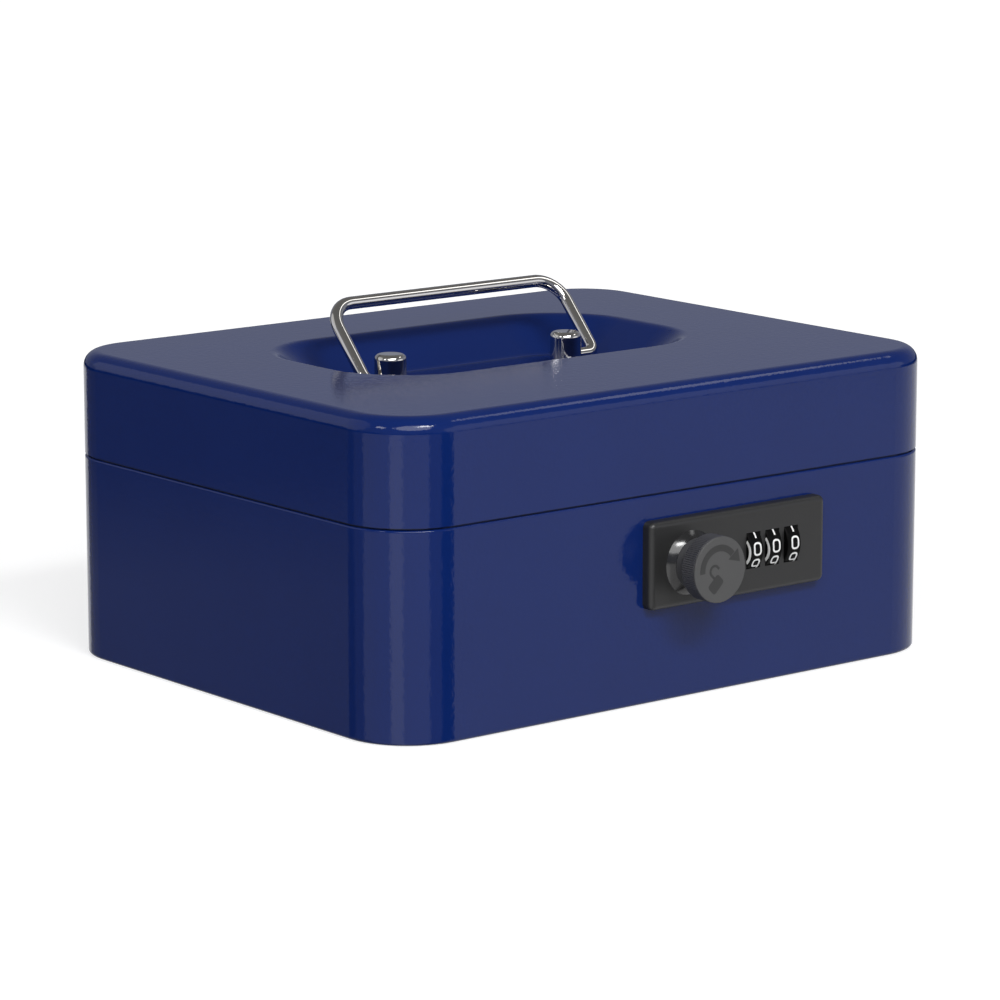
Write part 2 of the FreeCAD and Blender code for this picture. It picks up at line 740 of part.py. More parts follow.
def coin_tray():
    """Loose moulded tray: a front row of coin cups, a back row of bins and a finger notch at each end."""
    x1 = half_width - rim_inner_inset - tray_clearance
    y0 = housing_back + tray_front_room
    y1 = half_depth - rim_inner_inset - tray_clearance
    back_r = corner_radius - rim_inner_inset - tray_clearance
    top = tray_bottom + tray_height
    tray = block(-x1, x1, y0, y1, tray_bottom, top, [tray_front_corner, tray_front_corner, back_r, back_r])
    floor = tray_bottom + tray_wall
    split = y0 + 2 * tray_wall + tray_cup_depth
    rows = [
        (tray_cup_count, y0 + tray_wall, split - tray_wall, tray_cup_corner, tray_cup_floor_radius),
        (tray_bin_count, split, y1 - tray_wall, tray_bin_corner, tray_bin_floor_radius),
    ]
    cuts = []
    for count, ya, yb, corner, floor_r in rows:
        width = (2 * x1 - tray_wall) / count
        for i in range(count):
            a = -x1 + tray_wall + i * width
            b = a + width - tray_wall
            radii = [corner] * 4
            if yb > split and i == 0:
                radii[3] = back_r - tray_wall
            if yb > split and i == count - 1:
                radii[2] = back_r - tray_wall
            pocket = block(a, b, ya, yb, floor, top + tray_wall, radii)
            cuts.append(pocket.makeFillet(floor_r, flat_edges(pocket, "Z", floor)))
    middle = (split + y1) / 2
    cuts.append(rod_x(tray_notch_radius, middle, top, -x1 - tray_wall, -x1 + 2 * tray_wall))
    cuts.append(rod_x(tray_notch_radius, middle, top, x1 - 2 * tray_wall, x1 + tray_wall))
    return tray.cut(cuts)


def tray_bracket(side):
    """Angle strip welded to a side wall: the tray rests on its shelf."""
    wall = side * (half_width - sheet)
    inner = wall - side * bracket_sheet
    shelf = wall - side * bracket_shelf
    y0 = bracket_y - bracket_length / 2
    y1 = bracket_y + bracket_length / 2
    upright = block(*sorted((inner, wall)), y0, y1, tray_bottom - bracket_height, tray_bottom)
    ledge = block(*sorted((shelf, wall)), y0, y1, tray_bottom - bracket_sheet, tray_bottom)
    return upright.fuse(ledge).removeSplitter()


pieces["base_shell"] = base_shell()
pieces["lid_shell"] = lid_shell()
pieces["carry_handle"] = carry_handle()
for side_name, side_sign in (("left", -1), ("right", 1)):
    hinge_x = side_sign * hinge_spacing / 2
    pin_half = hinge_length / 2 + hinge_pin_overhang
    pieces["hinge_leaf_base_" + side_name] = hinge_leaf(hinge_x, -1)
    pieces["hinge_leaf_lid_" + side_name] = hinge_leaf(hinge_x, 1)
    pieces["hinge_pin_" + side_name] = rod_x(hinge_pin_radius, hinge_y, hinge_z,
                                             hinge_x - pin_half, hinge_x + pin_half)
    pieces["handle_post_" + side_name] = handle_post(side_sign)
    pieces["tray_bracket_" + side_name] = tray_bracket(side_sign)
pieces["hinge_rivets_base"] = Part.makeCompound([rivet(x, z) for x, z in rivet_points(-1)])
pieces["hinge_rivets_lid"] = Part.makeCompound([rivet(x, z) for x, z in rivet_points(1)])
pieces["post_washers"] = Part.makeCompound([post_washer(s) for s in (-1, 1)])
pieces["lid_strike"] = lid_strike()
pieces["lock_bezel"] = lock_bezel()
pieces["lock_housing"] = lock_housing()
pieces["lock_screws"] = Part.makeCompound([lock_screw(x, z) for x, z in screw_points])
pieces["knob_collar"] = knob_collar()
pieces["knob"] = knob()
pieces["knob_face"] = knob_face()
pieces["knob_spindle"] = knob_spindle()
pieces["latch_cam"] = latch_cam()
pieces["spindle_washer"] = spindle_washer()
pieces["spindle_nut"] = spindle_nut()
pieces["dial_shaft"] = rod_x(shaft_radius, dial_axis_y, lock_z, shaft_x0, shaft_x1)
for number, dial_x in enumerate(dial_xs, 1):
    pieces["dial_%d" % number] = dial_wheel(dial_x)
    pieces["dial_gate_%d" % number] = dial_gate(dial_x)
pieces["detent_spring"] = detent_spring()
pieces["locking_bar"] = locking_bar()
pieces["coin_tray"] = coin_tray()

os.makedirs("parts", exist_ok=True)
for name, shape in pieces.items():
    shape.exportStep("parts/%s.step" % name)
    found = (name, len(shape.Solids), shape.isValid(), shape.Volume)
    print("%-24s solids %d  valid %s  volume %.1f mm3" % found)
print("lid axis y %.3f z %.3f" % (hinge_y, hinge_z))
print("bail axis y %.3f z %.3f, dial axis y %.3f z %.3f" % (post_y, bail_pivot_z, dial_axis_y, lock_z))
print("dials at x", [round(x, 3) for x in dial_xs], "bar travel", bar_travel)
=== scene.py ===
# %% [markdown]
# The looks of a steel cash box
#
# The box is already built to size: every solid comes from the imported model, in metres, and stays where
# it is. What is left for Blender is what the eye reads first: the baked blue enamel, the chrome of the
# handle, the satin and polished plastics of the lock, the white numbers and the sign on the knob.
# Each step below says what the real thing is, how it could be made, and why it is made this way.

# %% Load the fixed frame
import math

import bmesh
import bpy
import numpy as np
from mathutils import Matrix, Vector


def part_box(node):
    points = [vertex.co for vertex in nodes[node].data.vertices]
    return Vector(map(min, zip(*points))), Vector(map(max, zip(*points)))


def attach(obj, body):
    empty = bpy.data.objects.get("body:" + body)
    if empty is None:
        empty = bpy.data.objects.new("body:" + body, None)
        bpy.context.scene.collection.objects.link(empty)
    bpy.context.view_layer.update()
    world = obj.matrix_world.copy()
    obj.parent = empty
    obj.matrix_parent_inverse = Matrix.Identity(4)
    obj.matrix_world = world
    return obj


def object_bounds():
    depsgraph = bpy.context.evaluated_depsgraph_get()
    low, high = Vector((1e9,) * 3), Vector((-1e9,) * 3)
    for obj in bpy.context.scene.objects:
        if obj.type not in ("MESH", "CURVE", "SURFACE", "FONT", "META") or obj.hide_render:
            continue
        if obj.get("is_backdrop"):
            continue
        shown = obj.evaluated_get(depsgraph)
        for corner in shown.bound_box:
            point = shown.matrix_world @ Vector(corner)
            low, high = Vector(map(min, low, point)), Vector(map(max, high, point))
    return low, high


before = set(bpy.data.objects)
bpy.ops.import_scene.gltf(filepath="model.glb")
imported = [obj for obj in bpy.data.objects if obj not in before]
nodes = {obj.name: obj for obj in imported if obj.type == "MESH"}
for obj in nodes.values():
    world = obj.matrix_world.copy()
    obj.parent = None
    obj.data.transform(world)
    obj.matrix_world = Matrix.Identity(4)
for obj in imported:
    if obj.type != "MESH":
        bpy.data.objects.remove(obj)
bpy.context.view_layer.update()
MM = 0.001

# %% [markdown]
# A small language for finishes
#
# A finish is a graph of nodes, and graphs are tiring to read as code. The class Value wraps one socket,
# so that an expression such as 0.06 + 0.04 * cloud adds the Math nodes by itself, also with the plain
# number on the left. The class Finish owns one material, or the world: its node method makes any node
# from its type, its settings and its sockets. A number that is the same all over goes straight onto the
# shader's socket, because the exported model keeps it there.


# %% The Value and Finish classes
class Value:
    """A node's output. Arithmetic on it adds Math nodes to the same material."""

    def __init__(self, finish, socket):
        self.finish = finish
        self.socket = socket

    def math(self, operation, first, second):
        return self.finish.node("ShaderNodeMath", {"operation": operation}, {0: first, 1: second})

    def __add__(self, other):
        return self.math("ADD", self, other)

    def __sub__(self, other):
        return self.math("SUBTRACT", self, other)

    def __rsub__(self, other):
        return self.math("SUBTRACT", other, self)

    def __mul__(self, other):
        return self.math("MULTIPLY", self, other)

    __radd__ = __add__
    __rmul__ = __mul__


class Finish:
    """One material, or the world, and the nodes that describe it."""

    def __init__(self, name, owners=bpy.data.materials):
        self.material = owners.new(name)
        self.material.use_nodes = True
        self.tree = self.material.node_tree
        self.tree.nodes.clear()

    def node(self, kind, settings=None, sockets=None, out=0):
        """Adds a node: its settings first, then values or links for its sockets."""
        made = self.tree.nodes.new(kind)
        for key, value in (settings or {}).items():
            if key == "stops":
                ramp = made.color_ramp.elements
                while len(ramp) < len(value):
                    ramp.new(1.0)
                for element, (place, colour) in zip(ramp, value):
                    element.position = place
                    element.color = (*colour, 1.0)
            elif key == "between":
                made.color_ramp.interpolation = value
            else:
                setattr(made, key, value)
        for key, value in (sockets or {}).items():
            if isinstance(value, Value):
                self.tree.links.new(value.socket, made.inputs[key])
            else:
                made.inputs[key].default_value = value
        return Value(self, made.outputs[out])

    def place(self):
        """Where a point lies on the object, in metres."""
        return self.node("ShaderNodeTexCoord", out="Object")

    def noise(self, grain, detail=2.0, stretch=(1.0, 1.0, 1.0)):
        """Soft noise from 0 to 1 whose lumps are about grain metres across."""
        at = self.node("ShaderNodeMapping", None, {"Vector": self.place(), "Scale": stretch})
        return self.node("ShaderNodeTexNoise", None, {"Vector": at, "Scale": 1 / grain, "Detail": detail})

    def ramp(self, value, start, end):
        """Rises from 0 where the value is start to 1 where it is end, and stays there beyond."""
        return self.node("ShaderNodeMapRange", None, {0: value, 1: start, 2: end})

    def mix(self, share, first, second):
        """Goes from one colour to another by a share from 0 to 1."""
        return self.node("ShaderNodeMix", {"data_type": "RGBA"}, {0: share, 6: first, 7: second}, 2)

    def bump(self, height, depth):
        """Turns a height from 0 to 1 into a surface normal, depth metres from low to high."""
        return self.node("ShaderNodeBump", None, {"Height": height, "Distance": depth, "Strength": 1.0})

    def surface(self, **sockets):
        """Ends the graph in one Principled shader. Words in a socket's name are joined by underscores."""
        named = {key.replace("_", " "): value for key, value in sockets.items()}
        shader = self.node("ShaderNodeBsdfPrincipled", None, named)
        return self.ended(shader)

    def ended(self, shader, kind="ShaderNodeOutputMaterial"):
        """Links a shader to the output, and hands back the finished material or world."""
        end = self.tree.nodes.new(kind)
        self.tree.links.new(shader.socket, end.inputs["Surface"])
        return self.material


def shade(red, green, blue):
    """A colour as it is picked on screen, 0 to 255, made linear for the shader."""
    screen = np.array([red, green, blue]) / 255
    linear = np.where(screen <= 0.04045, screen / 12.92, ((screen + 0.055) / 1.055) ** 2.4)
    return (*linear.tolist(), 1.0)


def dress(material, *names):
    """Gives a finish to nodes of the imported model."""
    for name in names:
        nodes[name].data.materials.clear()
        nodes[name].data.materials.append(material)


# %% [markdown]
# Baked enamel on sheet steel
#
# The shells are sprayed and baked. The coat is glossy, but never quite flat: it dries into an orange
# peel of lumps a millimetre or so wide and a few hundredths high, which fray the edges of every
# reflection. A mirror-smooth blue would look like glass, so the peel is a very shallow bump. A second,
# much wider noise moves the colour and the gloss a little, as sprayed paint does.

# %% Blue enamel
PEEL_GRAIN = 1.3 * MM
PEEL_DEPTH = 0.045 * MM
SPRAY_GRAIN = 30 * MM
ENAMEL_IOR = 1.36


def blue_enamel():
    """Two near blues and a near-even gloss by a wide noise, with the peel as a bump."""
    paint = Finish("blue_enamel")
    cloud = paint.noise(SPRAY_GRAIN, 3.0)
    peel = paint.noise(PEEL_GRAIN)
    colour = paint.mix(cloud, shade(9, 32, 90), shade(13, 36, 96))
    return paint.surface(Base_Color=colour, Roughness=0.05 + 0.05 * cloud, IOR=ENAMEL_IOR,
                         Normal=paint.bump(peel, PEEL_DEPTH))


dress(blue_enamel(), "base_shell", "lid_shell", "tray_bracket_left", "tray_bracket_right")

# %% [markdown]
# Chrome on the bail and its posts
#
# Chrome plate is a mirror, here faintly warm. The wire under it was drawn through a die, so the plate
# keeps faint lines and a little unevenness. Those are worked in as a small change of roughness and
# a bump far finer than the wire.

# %% Chrome plate
HAZE_GRAIN = 4 * MM
RIPPLE_GRAIN = 1.2 * MM
RIPPLE_DEPTH = 0.003 * MM


def chrome_plate():
    """A metal whose tint and roughness go by a soft haze, with a ripple as a bump."""
    chrome = Finish("chrome_plate")
    haze = chrome.noise(HAZE_GRAIN, 3.0)
    ripple = chrome.noise(RIPPLE_GRAIN)
    tint = chrome.mix(haze, shade(206, 203, 199), shade(216, 213, 209))
    return chrome.surface(Base_Color=tint, Metallic=1.0, Roughness=0.02 + 0.05 * haze,
                          Normal=chrome.bump(ripple, RIPPLE_DEPTH))


dress(chrome_plate(), "carry_handle", "handle_post_left", "handle_post_right")

# %% [markdown]
# Moulded plastics of the lock and the tray
#
# One function makes every moulded plastic: a colour, a roughness, and the spark-eroded grain of the mould.
# The plate, grip and tray are satin with a fine grain, the collar is polished, and the dials lie between.
# The grain changes the gloss as well as the normal, because its tips are rubbed smoother than its pits.

# %% Plastics
FLOW_GRAIN = 12 * MM
PIT_DULLING = 0.12


def moulded(name, dark, pale, rough, grain, depth, shine=0.5):
    """Two near colours by the flow of the melt, and pits of a grain and a depth that dull the surface."""
    plastic = Finish(name)
    pits = plastic.noise(grain, 3.0)
    flow = plastic.noise(FLOW_GRAIN)
    return plastic.surface(Base_Color=plastic.mix(flow, shade(*dark), shade(*pale)),
                           Roughness=rough + PIT_DULLING * pits, Specular_IOR_Level=shine,
                           Normal=plastic.bump(pits, depth))


PLASTICS = [
    (("lock_bezel",), dict(name="plate_satin", dark=(33, 33, 33), pale=(37, 37, 37), rough=0.36,
                           grain=0.35 * MM, depth=0.008 * MM)),
    (("knob_collar",), dict(name="collar_polished", dark=(30, 30, 31), pale=(36, 36, 37), rough=0.1,
                            grain=1.5 * MM, depth=0.004 * MM, shine=0.55)),
    (("knob",), dict(name="grip_satin", dark=(66, 66, 68), pale=(72, 72, 74), rough=0.36,
                     grain=0.3 * MM, depth=0.006 * MM)),
    (("knob_face",), dict(name="face_grey", dark=(73, 73, 73), pale=(77, 77, 77), rough=0.48,
                          grain=0.3 * MM, depth=0.004 * MM)),
    (("dial_1", "dial_2", "dial_3"), dict(name="dial_black", dark=(4, 4, 4), pale=(8, 8, 8), rough=0.4,
                                          grain=0.4 * MM, depth=0.003 * MM, shine=0.08)),
    (("lock_housing",), dict(name="housing_black", dark=(26, 26, 26), pale=(32, 32, 32), rough=0.45,
                             grain=0.5 * MM, depth=0.01 * MM)),
    (("coin_tray",), dict(name="tray_grained", dark=(27, 27, 29), pale=(33, 33, 35), rough=0.42,
                          grain=0.7 * MM, depth=0.03 * MM)),
]
for pieces, recipe in PLASTICS:
    dress(moulded(**recipe), *pieces)
print("plastics:", len(PLASTICS))

# %% [markdown]
# Plated steel, spring steel and brass
#
# The hinges, rivets, screws and lock works are plain metal parts. Zinc plate is a pale grey with a faint
# spangle and the lines of the rolled strip. Spring steel is darker and brighter, and brass is warm.
# All three come from one function that stretches its noise along X, the way a strip is rolled.

# %% Metals
SPANGLE_GRAIN = 3 * MM
LINE_GRAIN = 0.5 * MM
LINE_STRETCH = (0.06, 1.0, 1.0)
LINE_DULLING = 0.16


def strip_metal(name, dark, pale, rough, scratch):
    """Two near tints by a spangle, and lines along X, scratch metres deep, that dull the surface."""
    metal = Finish(name)
    spangle = metal.noise(SPANGLE_GRAIN)
    lines = metal.noise(LINE_GRAIN, 3.0, LINE_STRETCH)
    tint = metal.mix(spangle, shade(*dark), shade(*pale))
    return metal.surface(Base_Color=tint, Metallic=1.0, Roughness=rough + LINE_DULLING * lines,
                         Normal=metal.bump(lines, scratch))


zinc = strip_metal("zinc_plate", (176, 178, 180), (200, 200, 197), rough=0.26, scratch=0.004 * MM)
spring = strip_metal("spring_steel", (150, 152, 158), (172, 174, 178), rough=0.18, scratch=0.003 * MM)
brass = strip_metal("gate_brass", (196, 158, 92), (212, 176, 108), rough=0.2, scratch=0.003 * MM)
dress(zinc, *[n for n in nodes if n.startswith("hinge_")], "post_washers", "lid_strike", "lock_screws",
      "knob_spindle", "latch_cam", "spindle_washer", "spindle_nut", "dial_shaft", "locking_bar")
dress(spring, "detent_spring")
dress(brass, "dial_gate_1", "dial_gate_2", "dial_gate_3")
bare = [n for n, o in nodes.items() if not o.data.materials or not o.data.materials[0].use_nodes]
print("materials:", len(bpy.data.materials), "nodes left bare:", bare)

# %% [markdown]
# Surfaces from arrays
#
# The numbers and the sign are thin films of ink, moulded a few hundredths of a millimetre proud. Each is
# a profile carried along a path: the path gives a point and a sideways direction at every step, the
# profile gives how far to go sideways and how high. Numpy works out the whole grid of points at once.

# %% Strokes of ink
STROKE_WIDTH = 0.55
INK_HEIGHT = 0.04
INK_ROOT = 0.06
BEND_STEPS = 9
BEND_LIMIT = 0.48
PATH_STEP = 0.15
BRIDGE_ACROSS = np.array([-0.5, -0.5, -0.3, 0.3, 0.5, 0.5])
SHOULDER = 0.6


def evened(path, closed):
    """The same path with points at even steps, looked up by the distance along it."""
    if closed:
        path = np.vstack([path, path[:1]])
    run = np.concatenate([[0], np.cumsum(np.linalg.norm(np.diff(path, axis=0), axis=1))])
    at = np.linspace(0, run[-1], int(run[-1] / PATH_STEP) + 2, endpoint=not closed)
    return np.stack([np.interp(at, run, path[:, 0]), np.interp(at, run, path[:, 1])], axis=1)


def rounded(corners, bends, closed=False):
    """A path through corners, each replaced by a quadratic curve that starts and ends its bend away:
    (1-s)^2 start + 2 s (1-s) corner + s^2 end, for s from 0 to 1."""
    corners = np.array(corners, float)
    to_last = np.roll(corners, 1, axis=0) - corners
    to_next = np.roll(corners, -1, axis=0) - corners
    last_reach = np.linalg.norm(to_last, axis=1, keepdims=True)
    next_reach = np.linalg.norm(to_next, axis=1, keepdims=True)
    bend = np.minimum(np.reshape(bends, (-1, 1)), BEND_LIMIT * np.minimum(last_reach, next_reach))
    start = corners + to_last / last_reach * bend
    end = corners + to_next / next_reach * bend
    s = np.linspace(0, 1, BEND_STEPS)[None, :, None]
    curves = (1 - s) ** 2 * start[:, None] + 2 * s * (1 - s) * corners[:, None] + s ** 2 * end[:, None]
    if closed:
        return evened(curves.reshape(-1, 2), True)
    return evened(np.vstack([corners[:1], curves[1:-1].reshape(-1, 2), corners[-1:]]), False)


def grid_faces(rows, columns, wrap):
    """Quads of a grid of points whose columns close on themselves, and whose rows do if wrap is set."""
    r = np.arange(rows if wrap else rows - 1)[:, None]
    c = np.arange(columns)[None, :]
    down = (r + 1) % rows
    right = (c + 1) % columns
    return np.stack([r * columns + c, down * columns + c, down * columns + right, r * columns + right],
                    axis=-1).reshape(-1, 4).tolist()


def stroke(path, closed=False, width=STROKE_WIDTH, height=INK_HEIGHT):
    """A film of ink along a flat path. A point is path + across * sideways, at its own height, where
    across and height follow a low bridge: up one side, over a slightly rounded top, down the other."""
    across = BRIDGE_ACROSS * width
    rise = np.array([-INK_ROOT, SHOULDER * height, height, height, SHOULDER * height, -INK_ROOT])
    if closed:
        along = np.roll(path, -1, axis=0) - np.roll(path, 1, axis=0)
    else:
        along = np.gradient(path, axis=0)
    along = along / np.linalg.norm(along, axis=1, keepdims=True)
    sideways = np.stack([-along[:, 1], along[:, 0]], axis=1)
    flat = path[:, None] + across[None, :, None] * sideways[:, None]
    high = np.broadcast_to(rise[None, :, None], flat.shape[:2] + (1,))
    points = np.concatenate([flat, high], axis=2).reshape(-1, 3)
    rows, columns = flat.shape[:2]
    faces = grid_faces(rows, columns, closed)
    if not closed:
        faces += [list(range(columns)), list(range((rows - 1) * columns, rows * columns))]
    return points, faces


def join(shapes):
    """Several shapes as one: points one after another, faces counted on."""
    starts = np.cumsum([0] + [len(points) for points, _ in shapes[:-1]])
    points = np.vstack([points for points, _ in shapes])
    faces = [[i + int(start) for i in face] for start, (_, found) in zip(starts, shapes) for face in found]
    return points, faces


def add_piece(name, points, faces, material, body):
    """A new mesh in metres that rides on a body, with its faces turned outwards."""
    mesh = bpy.data.meshes.new(name)
    mesh.from_pydata(points.tolist(), [], faces)
    work = bmesh.new()
    work.from_mesh(mesh)
    bmesh.ops.recalc_face_normals(work, faces=work.faces)
    work.to_mesh(mesh)
    work.free()
    mesh.materials.append(material)
    piece = bpy.data.objects.new(name, mesh)
    bpy.context.scene.collection.objects.link(piece)
    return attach(piece, body)


# %% [markdown]
# White numbers on the dials
#
# A number wheel carries the ten figures at steps of 36 degrees. They could be a texture, but an image
# isn't needed: each figure is a few strokes in a cell of real size, wrapped round the wheel. The formula
# is a plain cylinder: the distance up the cell, divided by the wheel's radius, is an angle. Nought faces
# forwards, one is above it and nine below.

# %% Ten figures wrapped round each wheel
CELL_HALF_WIDTH = 1.16
CELL_HALF_HEIGHT = 1.66
CELL_SHIFT = 0.2
DIAL_SETTING = 4.3
FIGURE_STEP = 36
WEAR_GRAIN = 0.8 * MM
ROUND = 1.05
SHARP = 0.12
a, b = CELL_HALF_WIDTH, CELL_HALF_HEIGHT
FIGURES = {
    0: [([(-a, -b), (a, -b), (a, b), (-a, b)], ROUND, True)],
    1: [([(-0.7, b - 0.7), (0, b), (0, -b)], SHARP, False)],
    2: [([(-a, 0.7), (-a, b), (a, b), (a, 0.1), (-a, -b), (a, -b)], [0, ROUND, ROUND, 0.7, SHARP, 0],
         False)],
    3: [([(-a, b), (a, b), (a, 0), (-0.3, 0)], ROUND, False),
        ([(-0.3, 0), (a, 0), (a, -b), (-a, -b)], ROUND, False)],
    4: [([(0.5, -b), (0.5, b), (-a, -0.6), (a, -0.6)], SHARP, False)],
    5: [([(a, b), (-a, b), (-a, 0.3), (a, 0.3), (a, -b), (-a, -b)], [0, SHARP, SHARP, ROUND, ROUND, 0],
         False)],
    6: [([(a, b), (-a, b), (-a, -b), (a, -b), (a, 0.6), (-a, 0.6)], ROUND, False)],
    7: [([(-a, b), (a, b), (-0.4, -b)], SHARP, False)],
    8: [([(-a, 0), (a, 0), (a, b), (-a, b)], ROUND, True),
        ([(-a, -b), (a, -b), (a, 0), (-a, 0)], ROUND, True)],
    9: [([(a, -b), (a, b), (-a, b), (-a, -0.6), (a, -0.6)], ROUND, False)],
}


def white_ink():
    """Two near whites, and a roughness, by a fine wear."""
    ink = Finish("white_ink")
    wear = ink.noise(WEAR_GRAIN)
    return ink.surface(Base_Color=ink.mix(wear, shade(228, 228, 226), shade(240, 240, 238)),
                       Roughness=0.4 + 0.15 * wear)


def wrapped(points, low, high, turn):
    """Flat points (sideways, up, out) in mm onto a wheel along X: y = axis - r cos t, z = axis + r sin t,
    with t = up / wheel radius + turn and r = wheel radius + out."""
    middle = (np.array(low) + np.array(high)) / 2
    radius = (high.z - low.z) / 2
    t = points[:, 1] * MM / radius + turn
    r = radius + points[:, 2] * MM
    return np.stack([middle[0] + (points[:, 0] + CELL_SHIFT) * MM, middle[1] - r * np.cos(t),
                     middle[2] + r * np.sin(t)], axis=1)


white = white_ink()
for wheel in ("dial_1", "dial_2", "dial_3"):
    low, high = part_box(wheel)
    shapes = []
    for figure, strokes in FIGURES.items():
        turn = math.radians(DIAL_SETTING + FIGURE_STEP * figure)
        for corners, bends, closed in strokes:
            points, faces = stroke(rounded(corners, bends, closed), closed)
            shapes.append((wrapped(points, low, high, turn), faces))
    numbers = add_piece(wheel + "_numbers", *join(shapes), white, wheel)
    print(numbers.name, "faces", len(numbers.data.polygons))

# %% [markdown]
# White arcs on the flanks of two dials
#
# The left flanks of the first two wheels show a short white arc where they stand out of the plate. It is
# the same stroke, laid on the flat flank: across the cell becomes forwards, out becomes leftwards.

# %% Flank arcs
ARC_HALF_CHORD = 3.05
ARC_DEPTH = 1.4
ARC_FRONT_ROOM = 0.4
ARC_DROP = 0.35
ARC_WIDTH = 0.85
ARC_STEPS = 25


def flank_arc(low, high):
    """Part of a circle on the flank: with half chord c and depth d its radius is (c^2 + d^2) / 2d."""
    radius = (ARC_HALF_CHORD ** 2 + ARC_DEPTH ** 2) / (2 * ARC_DEPTH)
    half = math.asin(ARC_HALF_CHORD / radius)
    t = np.linspace(-half, half, ARC_STEPS)
    path = np.stack([radius * (1 - np.cos(t)) + ARC_FRONT_ROOM, radius * np.sin(t)], axis=1)
    points, faces = stroke(path, width=ARC_WIDTH)
    middle_z = (low.z + high.z) / 2 - ARC_DROP * MM
    return np.stack([low.x - points[:, 2] * MM, low.y + points[:, 0] * MM, middle_z + points[:, 1] * MM],
                    axis=1), faces


for wheel in ("dial_1", "dial_2"):
    arc = add_piece(wheel + "_flank_arc", *flank_arc(*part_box(wheel)), white, wheel)
    print(arc.name, "faces", len(arc.data.polygons))

# %% [markdown]
# The sign on the knob
#
# A dark grey sign tells which way to turn: an arrow round the rim of the face, and a small open padlock.
# It is drawn in the plane of the face, X to the right and Z up, and stands just proud of it. The arrow's
# shaft and the shackle are strokes along arcs, the arrow's head and the padlock's body are flat plates
# between a left and a right outline.

# %% Arrow and padlock
SIGN_HEIGHT = 0.03
ARROW_CENTRE = (-0.25, 0.0)
ARROW_RADIUS = 6.05
ARROW_WIDTH = 1.85
ARROW_START = 185
ARROW_END = 39
HEAD_HALF_WIDTH = 2.2
HEAD_TIP = (7.2, 1.42)
LOCK_TILT = 45
LOCK_CENTRE = (-1.48, -3.95)
LOCK_HALF = (2.5, 1.7)
LOCK_BEND = 0.95
SHACKLE_RADIUS = 1.5
SHACKLE_WIDTH = 0.72
SHACKLE_LEG = 0.8
SHACKLE_RISE = 1.3
SHACKLE_SUNK = 0.1
SHACKLE_TIP = 0.8
ARROW_STEPS = 70


def arc_path(centre, radius, start, end, steps):
    """Points of a circle from one angle to another, in degrees."""
    t = np.radians(np.linspace(start, end, steps))
    return np.stack([centre[0] + radius * np.cos(t), centre[1] + radius * np.sin(t)], axis=1)


def plate(outline):
    """A thin plate inside a closed outline: the outline at the root, the same at the height, two lids."""
    count = len(outline)
    levels = np.array([-INK_ROOT, SIGN_HEIGHT])
    points = np.concatenate([np.repeat(outline[None], 2, axis=0),
                             np.broadcast_to(levels[:, None, None], (2, count, 1))], axis=2).reshape(-1, 3)
    faces = grid_faces(2, count, False)
    return points, faces + [list(range(count)), list(range(count, 2 * count))]


def turned(path, degrees, centre):
    """A flat path turned about the origin and then moved."""
    t = math.radians(degrees)
    spin = np.array([[math.cos(t), -math.sin(t)], [math.sin(t), math.cos(t)]])
    return path @ spin.T + np.array(centre)


def knob_sign(low, high):
    """The four shapes of the sign, set on the face: X to the right, Z up, height towards the front."""
    end = math.radians(ARROW_END)
    outwards = np.array([math.cos(end), math.sin(end)])
    head = [(ARROW_RADIUS + HEAD_HALF_WIDTH) * outwards, (ARROW_RADIUS - HEAD_HALF_WIDTH) * outwards,
            HEAD_TIP]
    w, h = LOCK_HALF
    body = rounded([(-w, -h), (w, -h), (w, h), (-w, h)], LOCK_BEND, True)
    crown = (SHACKLE_LEG + SHACKLE_RADIUS, h + SHACKLE_RISE)
    loop = arc_path(crown, SHACKLE_RADIUS, 180, 0, ARC_STEPS)
    hook = np.vstack([[(SHACKLE_LEG, h - SHACKLE_SUNK)], loop, [loop[-1] - (0, SHACKLE_TIP)]])
    shapes = [
        stroke(arc_path(ARROW_CENTRE, ARROW_RADIUS, ARROW_START, ARROW_END, ARROW_STEPS),
               width=ARROW_WIDTH, height=SIGN_HEIGHT),
        plate(rounded(head, SHARP, True)),
        plate(turned(body, LOCK_TILT, LOCK_CENTRE)),
        stroke(turned(evened(hook, False), LOCK_TILT, LOCK_CENTRE), width=SHACKLE_WIDTH, height=SIGN_HEIGHT),
    ]
    points, faces = join(shapes)
    middle = (np.array(low) + np.array(high)) / 2
    return np.stack([middle[0] + points[:, 0] * MM, low.y - points[:, 2] * MM,
                     middle[2] + points[:, 1] * MM], axis=1), faces


sign_grey = moulded("sign_grey", dark=(46, 46, 46), pale=(50, 50, 50), rough=0.5, grain=0.3 * MM,
                    depth=0.003 * MM)
sign = add_piece("knob_sign", *knob_sign(*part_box("knob_face")), sign_grey, "knob")
print(sign.name, "faces", len(sign.data.polygons))

# %% [markdown]
# The camera
#
# The photograph was taken from the front left, a little above the box, through a long lens. The place,
# the two angles and the lens were solved from the outline, the seam and the lock.

# %% Camera
CAMERA_PLACE = (-0.77764, -0.96048, 0.28996)
CAMERA_AZIMUTH = math.radians(-38.97)
CAMERA_ELEVATION = math.radians(11.29)
IMAGE_WIDTH = 1000
FOCAL_PIXELS = 4375.12

